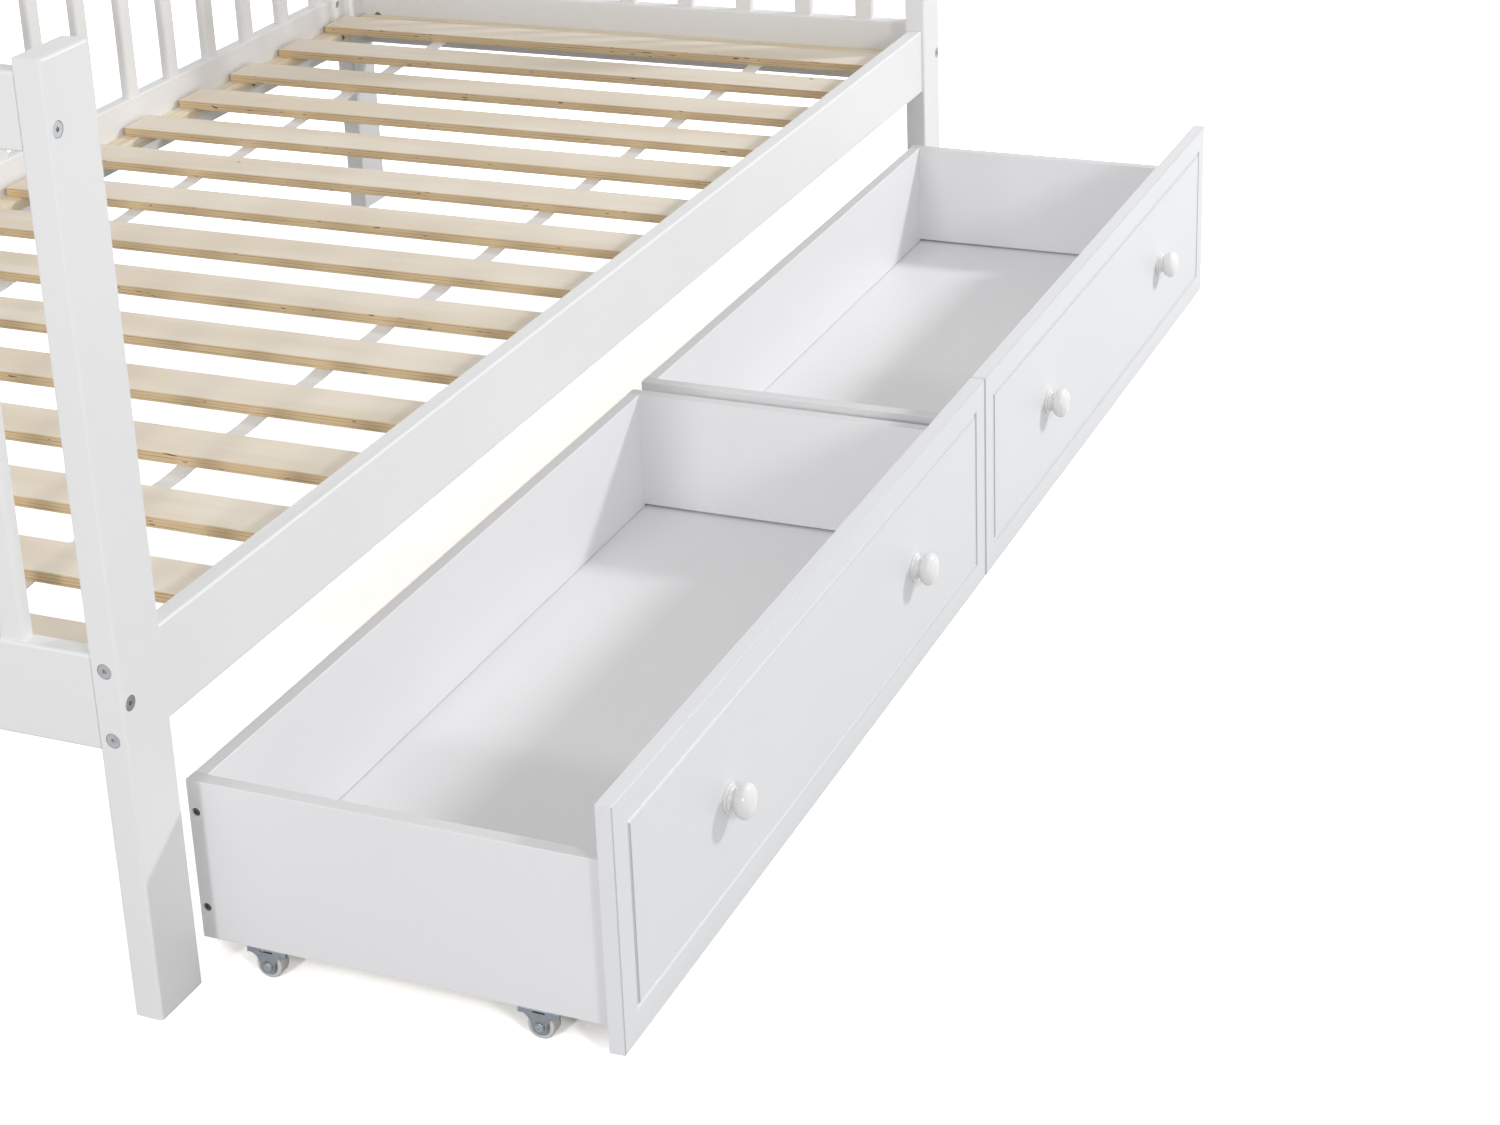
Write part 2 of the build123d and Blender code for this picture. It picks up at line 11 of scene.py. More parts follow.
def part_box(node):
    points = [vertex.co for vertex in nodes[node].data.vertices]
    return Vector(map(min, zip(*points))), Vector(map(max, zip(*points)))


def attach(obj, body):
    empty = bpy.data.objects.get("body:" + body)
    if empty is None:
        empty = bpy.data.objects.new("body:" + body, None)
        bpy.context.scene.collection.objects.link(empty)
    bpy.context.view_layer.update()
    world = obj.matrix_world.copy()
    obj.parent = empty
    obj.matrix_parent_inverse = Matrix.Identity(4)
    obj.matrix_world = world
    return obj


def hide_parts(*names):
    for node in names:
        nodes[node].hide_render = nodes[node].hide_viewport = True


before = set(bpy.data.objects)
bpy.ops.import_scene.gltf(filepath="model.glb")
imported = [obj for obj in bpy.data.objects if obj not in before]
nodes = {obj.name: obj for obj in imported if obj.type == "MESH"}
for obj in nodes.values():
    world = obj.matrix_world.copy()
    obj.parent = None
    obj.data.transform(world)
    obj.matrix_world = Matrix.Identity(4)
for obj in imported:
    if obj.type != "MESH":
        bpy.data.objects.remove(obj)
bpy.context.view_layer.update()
mm = 0.001

# Posts, rails and top rails.
# Planed pine, sprayed with white satin paint before the frame is bolted together. The paint hides
# the colour of the wood, but the grain still stands through it as long faint ridges.


def linear(hex_colour):
    """Linear colour with full alpha from an sRGB hex value such as E6E8EA."""
    shares = [int(hex_colour[i : i + 2], 16) / 255 for i in (0, 2, 4)]
    bent = [s / 12.92 if s <= 0.04045 else ((s + 0.055) / 1.055) ** 2.4 for s in shares]
    return (*bent, 1.0)


def add(tree, kind, values=None, links=None, **properties):
    """Add one node: properties are set on it, values on its input sockets, and links feed those."""
    made = tree.nodes.new(kind)
    for name, value in properties.items():
        setattr(made, name, value)
    for socket, value in (values or {}).items():
        made.inputs[socket].default_value = value
    for socket, source in (links or {}).items():
        tree.links.new(source, made.inputs[socket])
    return made


def new_finish(name):
    """An empty node material, and its tree with the coordinates every finish here is drawn in."""
    finish = bpy.data.materials.new(name)
    finish.use_nodes = True
    tree = finish.node_tree
    tree.nodes.clear()
    return finish, tree, add(tree, "ShaderNodeTexCoord")


def dress(finish, *names):
    """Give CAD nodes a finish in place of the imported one."""
    for name in names:
        nodes[name].data.materials.clear()
        nodes[name].data.materials.append(finish)


def painted_pine(along):
    """White satin paint on pine whose grain runs along one axis (0, 1 or 2 for X, Y or Z)."""
    finish, tree, coords = new_finish(f"white_paint_on_pine_{'xyz'[along]}")
    grain_width = 5 * mm
    grain_length = 220 * mm
    grain_scale = [1 / grain_width] * 3
    grain_scale[along] = 1 / grain_length
    grain_map = add(
        tree,
        "ShaderNodeMapping",
        {"Scale": grain_scale},
        {"Vector": coords.outputs["Object"]},
    )
    grain = add(
        tree,
        "ShaderNodeTexNoise",
        {"Scale": 1.0, "Detail": 3.0, "Distortion": 0.4},
        {"Vector": grain_map.outputs["Vector"]},
    )
    # Spray leaves a peel of about 2 mm, drawn at 3 mm so that it shows
    peel = add(
        tree,
        "ShaderNodeTexNoise",
        {"Scale": 1 / (3 * mm), "Detail": 1.0},
        {"Vector": coords.outputs["Object"]},
    )
    patches = add(
        tree,
        "ShaderNodeTexNoise",
        {"Scale": 1 / (180 * mm), "Detail": 2.0},
        {"Vector": coords.outputs["Object"]},
    )
    tone = add(
        tree,
        "ShaderNodeMix",
        {6: linear("E6E6E7"), 7: linear("ECECEC")},
        {0: patches.outputs["Fac"]},
        data_type="RGBA",
    )
    sheen = add(
        tree,
        "ShaderNodeMapRange",
        {"To Min": 0.36, "To Max": 0.5},
        {"Value": peel.outputs["Fac"]},
    )
    ridges = add(
        tree,
        "ShaderNodeBump",
        {"Strength": 0.25, "Distance": 0.12 * mm},
        {"Height": grain.outputs["Fac"]},
    )
    skin = add(
        tree,
        "ShaderNodeBump",
        {"Strength": 0.2, "Distance": 0.05 * mm},
        {"Height": peel.outputs["Fac"], "Normal": ridges.outputs["Normal"]},
    )
    paint = add(
        tree,
        "ShaderNodeBsdfPrincipled",
        {"IOR": 1.5},
        {
            "Base Color": tone.outputs[2],
            "Roughness": sheen.outputs["Result"],
            "Normal": skin.outputs["Normal"],
        },
    )
    add(tree, "ShaderNodeOutputMaterial", links={"Surface": paint.outputs["BSDF"]})
    return finish


upright_paint = painted_pine(2)
lengthwise_paint = painted_pine(0)
crosswise_paint = painted_pine(1)
dress(upright_paint, "front_left_post", "front_right_post", "back_left_post", "back_right_post")
dress(lengthwise_paint, "front_rail", "back_lower_rail", "back_top_rail")
for end in ("left", "right"):
    dress(crosswise_paint, f"{end}_end_lower_rail", f"{end}_end_top_rail")

# Spindles of the back and of both ends.
# Flat pine sticks with rounded edges, painted with the panel and glued into mortises of its two rails.
dress(upright_paint, "back_spindles", "left_end_spindles", "right_end_spindles")

# Connector bolts and barrel nuts.
# Turned steel with a thin bright zinc plating. A bolt goes through each post into the end of a rail
# and pulls on a nut that sits in a cross hole of the rail, open to the inside of the bed.


def zinc_plate(name, light, dark, roughness):
    """Zinc-plated steel: bright, slightly blue, with cloudy patches where the bath took unevenly."""
    finish, tree, coords = new_finish(name)
    clouds = add(
        tree,
        "ShaderNodeTexNoise",
        {"Scale": 1 / (6 * mm), "Detail": 3.0},
        {"Vector": coords.outputs["Object"]},
    )
    tone = add(
        tree,
        "ShaderNodeMix",
        {6: linear(dark), 7: linear(light)},
        {0: clouds.outputs["Fac"]},
        data_type="RGBA",
    )
    dull = add(
        tree,
        "ShaderNodeMapRange",
        {"To Min": roughness - 0.08, "To Max": roughness + 0.1},
        {"Value": clouds.outputs["Fac"]},
    )
    scratches = add(
        tree,
        "ShaderNodeTexNoise",
        {"Scale": 1 / (0.8 * mm), "Detail": 2.0},
        {"Vector": coords.outputs["Object"]},
    )
    skin = add(
        tree,
        "ShaderNodeBump",
        {"Strength": 0.15, "Distance": 0.05 * mm},
        {"Height": scratches.outputs["Fac"]},
    )
    steel = add(
        tree,
        "ShaderNodeBsdfPrincipled",
        {"Metallic": 1.0},
        {
            "Base Color": tone.outputs[2],
            "Roughness": dull.outputs["Result"],
            "Normal": skin.outputs["Normal"],
        },
    )
    add(tree, "ShaderNodeOutputMaterial", links={"Surface": steel.outputs["BSDF"]})
    return finish


bolt_zinc = zinc_plate("bright_zinc_on_steel", "C9CBCE", "9DA1A6", 0.3)
dress(bolt_zinc, "frame_bolts", "barrel_nuts")

# Ledgers inside the rails, and the screws that hold them.
# Sawn battens of raw pine, left as they come from the saw, with countersunk cross-head screws
# every quarter of a metre into the rail behind.


def raw_pine(along):
    """Unfinished pine with its growth rings drawn as long stripes along one axis."""
    finish, tree, coords = new_finish(f"raw_pine_{'xyz'[along]}")
    ring_width = 6 * mm
    ring_length = 260 * mm
    ring_scale = [1 / ring_width] * 3
    ring_scale[along] = 1 / ring_length
    ring_map = add(
        tree,
        "ShaderNodeMapping",
        {"Scale": ring_scale},
        {"Vector": coords.outputs["Object"]},
    )
    rings = add(
        tree,
        "ShaderNodeTexNoise",
        {"Scale": 1.0, "Detail": 4.0, "Roughness": 0.6, "Distortion": 0.8},
        {"Vector": ring_map.outputs["Vector"]},
    )
    ring_edges = add(
        tree,
        "ShaderNodeMapRange",
        {"From Min": 0.35, "From Max": 0.68},
        {"Value": rings.outputs["Fac"]},
        interpolation_type="SMOOTHSTEP",
    )
    tone = add(
        tree,
        "ShaderNodeMix",
        {6: linear("F2E7D2"), 7: linear("E4CFAA")},
        {0: ring_edges.outputs["Result"]},
        data_type="RGBA",
    )
    saw = add(
        tree,
        "ShaderNodeBump",
        {"Strength": 0.5, "Distance": 0.25 * mm},
        {"Height": rings.outputs["Fac"]},
    )
    wood = add(
        tree,
        "ShaderNodeBsdfPrincipled",
        {"Roughness": 0.72, "IOR": 1.5},
        {"Base Color": tone.outputs[2], "Normal": saw.outputs["Normal"]},
    )
    add(tree, "ShaderNodeOutputMaterial", links={"Surface": wood.outputs["BSDF"]})
    return finish


lengthwise_pine = raw_pine(0)
crosswise_pine = raw_pine(1)
dress(lengthwise_pine, "front_ledger", "back_ledger")
dress(crosswise_pine, "left_end_ledger", "right_end_ledger")


def new_tree(name, *inputs):
    """An empty geometry-nodes tree with named inputs after its geometry, and its two end nodes."""
    tree = bpy.data.node_groups.new(name, "GeometryNodeTree")
    tree.interface.new_socket("Seats", in_out="INPUT", socket_type="NodeSocketGeometry")
    tree.interface.new_socket("Pieces", in_out="OUTPUT", socket_type="NodeSocketGeometry")
    for label, kind in inputs:
        tree.interface.new_socket(label, in_out="INPUT", socket_type=f"NodeSocket{kind}")
    return tree, add(tree, "NodeGroupInput"), add(tree, "NodeGroupOutput")


def close_tree(tree, start, stop, pieces):
    """End a tree as every tree here ends: plain geometry with one finish."""
    plain = add(tree, "GeometryNodeRealizeInstances", links={"Geometry": pieces})
    finished = add(
        tree,
        "GeometryNodeSetMaterial",
        links={"Geometry": plain.outputs["Geometry"], "Material": start.outputs["Finish"]},
    )
    tree.links.new(finished.outputs["Geometry"], stop.inputs["Pieces"])


def place_on_seats(tree, start, piece):
    """Set a piece on every seat, with its Z axis along the way the seat faces."""
    faces = add(
        tree,
        "GeometryNodeInputNamedAttribute",
        {"Name": "faces"},
        data_type="FLOAT_VECTOR",
    )
    turn = add(
        tree,
        "FunctionNodeAlignRotationToVector",
        links={"Vector": faces.outputs["Attribute"]},
        axis="Z",
    )
    return add(
        tree,
        "GeometryNodeInstanceOnPoints",
        links={
            "Points": start.outputs["Seats"],
            "Instance": piece,
            "Rotation": turn.outputs["Rotation"],
        },
    ).outputs["Instances"]


def seats(places):
    """A mesh of loose points with the way each one faces, from (point, direction) pairs."""
    mesh = bpy.data.meshes.new("seats")
    mesh.from_pydata([point for point, _ in places], [], [])
    faces = mesh.attributes.new("faces", "FLOAT_VECTOR", "POINT")
    for seat, (_, direction) in zip(faces.data, places):
        seat.vector = direction
    return mesh


def smooth(mesh, angle=35):
    """Shade a mesh smooth, but keep its corners that are sharper than an angle in degrees."""
    mesh.shade_smooth()
    mesh.set_sharp_from_angle(angle=math.radians(angle))


def grow(name, seed, tree, inputs, body):
    """Run a tree on a seed mesh, keep the result as a plain mesh, and let it ride on a body."""
    piece = bpy.data.objects.new(name, seed)
    bpy.context.scene.collection.objects.link(piece)
    maker = piece.modifiers.new("maker", "NODES")
    maker.node_group = tree
    for item in tree.interface.items_tree:
        if item.name in inputs:
            maker[item.identifier] = inputs[item.name]
    made = piece.evaluated_get(bpy.context.evaluated_depsgraph_get())
    mesh = bpy.data.meshes.new_from_object(made)
    piece.modifiers.remove(maker)
    piece.data = mesh
    smooth(mesh)
    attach(piece, body)
    return piece


def screw_tree():
    """Screw heads: a low round head with a cross recess, or with a hexagon socket if asked."""
    tree, start, stop = new_tree(
        "screw_heads",
        ("Head diameter", "Float"),
        ("Head height", "Float"),
        ("Recess width", "Float"),
        ("Hexagon socket", "Bool"),
        ("Finish", "Material"),
    )
    rim_share = 0.72
    cross_share = 0.62
    recess_depth_share = 1.2
    radius = add(
        tree,
        "ShaderNodeMath",
        {1: 0.5},
        {0: start.outputs["Head diameter"]},
        operation="MULTIPLY",
    )
    rim = add(
        tree,
        "ShaderNodeMath",
        {1: rim_share},
        {0: radius.outputs["Value"]},
        operation="MULTIPLY",
    )
    head = add(
        tree,
        "GeometryNodeMeshCone",
        {"Vertices": 20},
        {
            "Radius Top": rim.outputs["Value"],
            "Radius Bottom": radius.outputs["Value"],
            "Depth": start.outputs["Head height"],
        },
    )
    arm_size = add(
        tree,
        "ShaderNodeCombineXYZ",
        links={
            "X": start.outputs["Head diameter"],
            "Y": start.outputs["Recess width"],
            "Z": start.outputs["Head height"],
        },
    )
    arm_short = add(
        tree,
        "ShaderNodeVectorMath",
        {1: (cross_share, 1.0, recess_depth_share)},
        {0: arm_size.outputs["Vector"]},
        operation="MULTIPLY",
    )
    arm = add(tree, "GeometryNodeMeshCube", links={"Size": arm_short.outputs["Vector"]})
    arm_across = add(
        tree,
        "GeometryNodeTransform",
        {"Rotation": (0, 0, math.pi / 2)},
        {"Geometry": arm.outputs["Mesh"]},
    )
    cross = add(
        tree,
        "GeometryNodeMeshBoolean",
        operation="UNION",
        solver="EXACT",
    )
    tree.links.new(arm.outputs["Mesh"], cross.inputs["Mesh 2"])
    tree.links.new(arm_across.outputs["Geometry"], cross.inputs["Mesh 2"])
    socket_depth = add(
        tree,
        "ShaderNodeMath",
        {1: recess_depth_share},
        {0: start.outputs["Head height"]},
        operation="MULTIPLY",
    )
    hexagon = add(
        tree,
        "GeometryNodeMeshCylinder",
        {"Vertices": 6},
        {"Radius": start.outputs["Recess width"], "Depth": socket_depth.outputs["Value"]},
    )
    recess = add(
        tree,
        "GeometryNodeSwitch",
        links={
            "Switch": start.outputs["Hexagon socket"],
            "False": cross.outputs["Mesh"],
            "True": hexagon.outputs["Mesh"],
        },
        input_type="GEOMETRY",
    )
    lift = add(
        tree,
        "ShaderNodeCombineXYZ",
        links={"Z": start.outputs["Head height"]},
    )
    raised = add(
        tree,
        "GeometryNodeTransform",
        links={"Geometry": recess.outputs["Output"], "Translation": lift.outputs["Vector"]},
    )
    driven = add(
        tree,
        "GeometryNodeMeshBoolean",
        links={"Mesh 1": head.outputs["Mesh"], "Mesh 2": raised.outputs["Geometry"]},
        operation="DIFFERENCE",
        solver="EXACT",
    )
    close_tree(tree, start, stop, place_on_seats(tree, start, driven.outputs["Mesh"]))
    return tree


screw_heads = screw_tree()


def drive_screws(name, places, body, finish, diameter, height, recess, hexagon=False):
    """Set one kind of screw head on its seats, and let the heads ride on a body."""
    inputs = {
        "Head diameter": diameter,
        "Head height": height,
        "Recess width": recess,
        "Hexagon socket": hexagon,
        "Finish": finish,
    }
    grow(name, seats(places), screw_heads, inputs, body)


screw_zinc = zinc_plate("dull_zinc_on_screws", "8E8C88", "5F5E5C", 0.38)
ledger_screw_spacing = 257 * mm
ledger_screw_proud = 0.3 * mm


def ledger_screws(name, along, inward):
    """Seats of one ledger's screws, evenly spaced along its inner face."""
    low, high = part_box(name)
    middle = (low + high) / 2
    face = middle.copy()
    across = 1 - along
    face[across] = (high if inward > 0 else low)[across] + inward * ledger_screw_proud
    count = int((high[along] - low[along]) / ledger_screw_spacing) + 1
    found = []
    for number in range(count):
        seat = face.copy()
        seat[along] += (number - (count - 1) / 2) * ledger_screw_spacing
        direction = Vector((0, 0, 0))
        direction[across] = inward
        found.append((seat, direction))
    return found


ledger_screw_seats = (
    ledger_screws("front_ledger", 0, 1)
    + ledger_screws("back_ledger", 0, -1)
    + ledger_screws("left_end_ledger", 1, 1)
    + ledger_screws("right_end_ledger", 1, -1)
)
drive_screws(
    "ledger_screws",
    ledger_screw_seats,
    "bed_frame",
    screw_zinc,
    diameter=7 * mm,
    height=1.2 * mm,
    recess=1.2 * mm,
)

# Slats.
# Laminated strips of poplar, sanded but not sealed. Their tops are pale rotary-cut veneer, and the
# long edges show the plies as thin tan and brown layers with a few gaps in the inner ones.
slat_names = sorted(name for name in nodes if name.startswith("slat_") and name != "slat_webbing")
first_low, first_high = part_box(slat_names[0])
slat_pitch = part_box(slat_names[1])[0].x - first_low.x
slat_thickness = first_high.z - first_low.z


def laminated_poplar():
    """Layered poplar: each slat has its own tone, faint grain on top, and plies on the edges."""
    finish, tree, coords = new_finish("laminated_poplar")
    place = add(tree, "ShaderNodeSeparateXYZ", links={"Vector": coords.outputs["Object"]})
    # One random number for each slat, from its place in the row
    row = add(
        tree,
        "ShaderNodeMath",
        {1: first_low.x - slat_pitch / 4},
        {0: place.outputs["X"]},
        operation="SUBTRACT",
    )
    counted = add(tree, "ShaderNodeMath", {1: slat_pitch}, {0: row.outputs[0]}, operation="DIVIDE")
    number = add(tree, "ShaderNodeMath", links={0: counted.outputs[0]}, operation="FLOOR")
    chance = add(
        tree,
        "ShaderNodeTexWhiteNoise",
        links={"W": number.outputs[0]},
        noise_dimensions="1D",
    )
    # The sheet the veneer was peeled from changes its tone slowly, so each slat has paler stretches
    sheet_map = add(
        tree,
        "ShaderNodeMapping",
        {"Scale": (1 / (60 * mm), 1 / (350 * mm), 1 / (60 * mm))},
        {"Vector": coords.outputs["Object"]},
    )
    sheet = add(
        tree,
        "ShaderNodeTexNoise",
        {"Scale": 1.0, "Detail": 2.0},
        {"Vector": sheet_map.outputs["Vector"], "W": chance.outputs["Value"]},
        noise_dimensions="4D",
    )
    sheet_share = add(
        tree,
        "ShaderNodeMapRange",
        {"From Min": 0.35, "From Max": 0.65},
        {"Value": sheet.outputs["Fac"]},
        interpolation_type="SMOOTHSTEP",
    )
    veneer = add(
        tree,
        "ShaderNodeMix",
        {6: linear("EEE4D4"), 7: linear("E5D7C2")},
        {0: sheet_share.outputs["Result"]},
        data_type="RGBA",
    )
    grain_map = add(
        tree,
        "ShaderNodeMapping",
        {"Scale": (1 / (7 * mm), 1 / (300 * mm), 1 / (7 * mm))},
        {"Vector": coords.outputs["Object"]},
    )
    grain = add(
        tree,
        "ShaderNodeTexNoise",
        {"Scale": 1.0, "Detail": 5.0, "Roughness": 0.62, "Distortion": 0.6},
        {"Vector": grain_map.outputs["Vector"], "W": chance.outputs["Value"]},
        noise_dimensions="4D",
    )
    grain_share = add(
        tree,
        "ShaderNodeMapRange",
        {"From Min": 0.45, "From Max": 0.8, "To Max": 0.18},
        {"Value": grain.outputs["Fac"]},
        interpolation_type="SMOOTHSTEP",
    )
    top_grain = add(
        tree,
        "ShaderNodeMix",
        {7: linear("D8C6A6")},
        {0: grain_share.outputs["Result"], 6: veneer.outputs[2]},
        data_type="RGBA",
    )
    # Small dark knots, one every few slats
    knot_cells = add(
        tree,
        "ShaderNodeTexVoronoi",
        {"Scale": 1 / (170 * mm)},
        {"Vector": coords.outputs["Object"]},
    )
    knot = add(
        tree,
        "ShaderNodeMapRange",
        {"From Min": 0.012, "From Max": 0.024, "To Min": 0.75, "To Max": 0.0},
        {"Value": knot_cells.outputs["Distance"]},
        interpolation_type="SMOOTHSTEP",
    )
    top = add(
        tree,
        "ShaderNodeMix",
        {7: linear("7A5B38")},
        {0: knot.outputs["Result"], 6: top_grain.outputs[2]},
        data_type="RGBA",
    )
    # The edges: seven plies, and in every second one a thin brown line of turned grain and glue, which
    # fades in and out along the slat
    ply_count = 7
    height = add(
        tree,
        "ShaderNodeMath",
        {1: first_low.z},
        {0: place.outputs["Z"]},
        operation="SUBTRACT",
    )
    ply = add(
        tree,
        "ShaderNodeMath",
        {1: ply_count / slat_thickness},
        {0: height.outputs[0]},
        operation="MULTIPLY",
    )
    in_pair = add(tree, "ShaderNodeMath", {1: 2.0}, {0: ply.outputs[0]}, operation="MODULO")
    crossed = add(
        tree,
        "ShaderNodeMapRange",
        {"From Min": 1.45, "From Max": 1.55},
        {"Value": in_pair.outputs[0]},
    )
    edge_map = add(
        tree,
        "ShaderNodeMapping",
        {"Scale": (1 / (90 * mm), 1 / (90 * mm), 1 / (1.2 * mm))},
        {"Vector": coords.outputs["Object"]},
    )
    edge_grain = add(
        tree,
        "ShaderNodeTexNoise",
        {"Scale": 1.0, "Detail": 3.0},
        {"Vector": edge_map.outputs["Vector"], "W": chance.outputs["Value"]},
        noise_dimensions="4D",
    )
    edge_fade = add(
        tree,
        "ShaderNodeMapRange",
        {"From Min": 0.36, "From Max": 0.66, "To Min": 0.08, "To Max": 0.8},
        {"Value": edge_grain.outputs["Fac"]},
        interpolation_type="SMOOTHSTEP",
    )
    ply_strength = add(
        tree,
        "ShaderNodeMath",
        links={0: crossed.outputs["Result"], 1: edge_fade.outputs["Result"]},
        operation="MULTIPLY",
    )
    plies = add(
        tree,
        "ShaderNodeMix",
        {6: linear("DCC39B"), 7: linear("9A7749")},
        {0: ply_strength.outputs[0]},
        data_type="RGBA",
    )
    gap_map = add(
        tree,
        "ShaderNodeMapping",
        {"Scale": (1 / (16 * mm), 1 / (16 * mm), ply_count / slat_thickness)},
        {"Vector": coords.outputs["Object"]},
    )
    gap_noise = add(
        tree,
        "ShaderNodeTexNoise",
        {"Scale": 1.0, "Detail": 0.0},
        {"Vector": gap_map.outputs["Vector"]},
    )
    gap = add(
        tree,
        "ShaderNodeMapRange",
        {"From Min": 0.8, "From Max": 0.815, "To Max": 0.95},
        {"Value": gap_noise.outputs["Fac"]},
    )
    edge = add(
        tree,
        "ShaderNodeMix",
        {7: linear("2C2015")},
        {0: gap.outputs["Result"], 6: plies.outputs[2]},
        data_type="RGBA",
    )
    lean = add(tree, "ShaderNodeSeparateXYZ", links={"Vector": coords.outputs["Normal"]})
    flatness = add(tree, "ShaderNodeMath", links={0: lean.outputs["Z"]}, operation="ABSOLUTE")
    on_top = add(
        tree,
        "ShaderNodeMapRange",
        {"From Min": 0.55, "From Max": 0.8},
        {"Value": flatness.outputs[0]},
    )
    tone = add(
        tree,
        "ShaderNodeMix",
        links={0: on_top.outputs["Result"], 6: edge.outputs[2], 7: top.outputs[2]},
        data_type="RGBA",
    )
    fibres = add(
        tree,
        "ShaderNodeBump",
        {"Strength": 0.3, "Distance": 0.15 * mm},
        {"Height": grain.outputs["Fac"]},
    )
    wood = add(
        tree,
        "ShaderNodeBsdfPrincipled",
        {"Roughness": 0.62, "IOR": 1.5},
        {"Base Color": tone.outputs[2], "Normal": fibres.outputs["Normal"]},
    )
    add(tree, "ShaderNodeOutputMaterial", links={"Surface": wood.outputs["BSDF"]})
    return finish


dress(laminated_poplar(), *slat_names)

# Webbing under the slats.
# Two strips of woven polypropylene tape that hold the slats at their spacing. Each is stapled to every
# slat from below and hangs a little slack between two slats.


def woven_tape():
    """White tape of flat yarn: a plain weave of about 1.5 mm, drawn at 2.4 mm so that it shows."""
    finish, tree, coords = new_finish("woven_polypropylene")
    yarn = 2.4 * mm
    # At a scale of 1 the bands of a wave texture are this far apart
    band_spacing = math.pi / 10
    warp, weft = (
        add(
            tree,
            "ShaderNodeTexWave",
            {"Scale": band_spacing / yarn, "Distortion": 0.0},
            {"Vector": coords.outputs["Object"]},
            bands_direction=direction,
        )
        for direction in "XY"
    )
    weave = add(
        tree,
        "ShaderNodeMath",
        links={0: warp.outputs["Fac"], 1: weft.outputs["Fac"]},
        operation="MULTIPLY",
    )
    tone = add(
        tree,
        "ShaderNodeMix",
        {6: linear("E6E3E0"), 7: linear("F6F5F3")},
        {0: weave.outputs[0]},
        data_type="RGBA",
    )
    yarns = add(
        tree,
        "ShaderNodeBump",
        {"Strength": 0.6, "Distance": 0.3 * mm},
        {"Height": weave.outputs[0]},
    )
    cloth = add(
        tree,
        "ShaderNodeBsdfPrincipled",
        {"Roughness": 0.55, "IOR": 1.5},
        {"Base Color": tone.outputs[2], "Normal": yarns.outputs["Normal"]},
    )
    add(tree, "ShaderNodeOutputMaterial", links={"Surface": cloth.outputs["BSDF"]})
    return finish


def tape_tree():
    """A flat tape swept along a line, with its width kept level."""
    tree, start, stop = new_tree(
        "tape_along_line", ("Width", "Float"), ("Thickness", "Float"), ("Finish", "Material")
    )
    line = add(tree, "GeometryNodeMeshToCurve", links={"Mesh": start.outputs["Seats"]})
    level = add(
        tree,
        "GeometryNodeSetCurveNormal",
        links={"Curve": line.outputs["Curve"]},
        mode="Z_UP",
    )
    section = add(
        tree,
        "GeometryNodeCurvePrimitiveQuadrilateral",
        links={"Width": start.outputs["Width"], "Height": start.outputs["Thickness"]},
    )
    tape = add(
        tree,
        "GeometryNodeCurveToMesh",
        {"Fill Caps": True},
        {"Curve": level.outputs["Curve"], "Profile Curve": section.outputs["Curve"]},
    )
    close_tree(tree, start, stop, tape.outputs["Mesh"])
    return tree


def staple_tree():
    """Wire staples: a flat bridge of square wire, its two legs already in the wood."""
    tree, start, stop = new_tree(
        "staples", ("Length", "Float"), ("Wire", "Float"), ("Finish", "Material")
    )
    size = add(
        tree,
        "ShaderNodeCombineXYZ",
        links={
            "X": start.outputs["Wire"],
            "Y": start.outputs["Length"],
            "Z": start.outputs["Wire"],
        },
    )
    bridge = add(tree, "GeometryNodeMeshCube", links={"Size": size.outputs["Vector"]})
    close_tree(tree, start, stop, place_on_seats(tree, start, bridge.outputs["Mesh"]))
    return tree


tape_low, tape_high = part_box("slat_webbing")
tape_width = 20 * mm
tape_thickness = 1.2 * mm
tape_slack = 2.5 * mm
tape_steps = 8
tape_finish = woven_tape()
tape_maker = tape_tree()
staple_seats = []
for tape_name, tape_y in (
    ("front_webbing", tape_low.y + tape_width / 2),
    ("back_webbing", tape_high.y - tape_width / 2),
):
    tape_line = []
    for slat, slat_name in enumerate(slat_names):
        low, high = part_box(slat_name)
        taped_from = max(low.x, tape_low.x)
        taped_to = min(high.x, tape_high.x)
        under = low.z - tape_thickness / 2
        tape_line += [(taped_from, tape_y, under), (taped_to, tape_y, under)]
        for side in (-1, 1):
            staple_x = (taped_from + taped_to) / 2 + side * (taped_to - taped_from) / 4
            staple_seats.append(((staple_x, tape_y, low.z - tape_thickness), (0, 0, -1)))
        if slat + 1 < len(slat_names):
            gap = slat_pitch - (high.x - low.x)
            for step in range(1, tape_steps):
                share = step / tape_steps
                sag = tape_slack * 4 * share * (1 - share)
                tape_line.append((high.x + share * gap, tape_y, under - sag))
    tape_seed = bpy.data.meshes.new("tape_line")
    tape_seed.from_pydata(tape_line, [(i, i + 1) for i in range(len(tape_line) - 1)], [])
    tape = grow(
        tape_name,
        tape_seed,
        tape_maker,
        {"Width": tape_width, "Thickness": tape_thickness, "Finish": tape_finish},
        "bed_frame",
    )
    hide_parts("slat_webbing")
grow(
    "webbing_staples",
    seats(staple_seats),
    staple_tree(),
    {"Length": 10 * mm, "Wire": 1.1 * mm, "Finish": bolt_zinc},
    "bed_frame",
)

# Drawer boxes and fronts.
# Fibreboard faced with white melamine foil. The sides are glued and screwed to the back, and the thin
# bottom is pushed into a groove that runs all round. Each front has a line routed round its face.


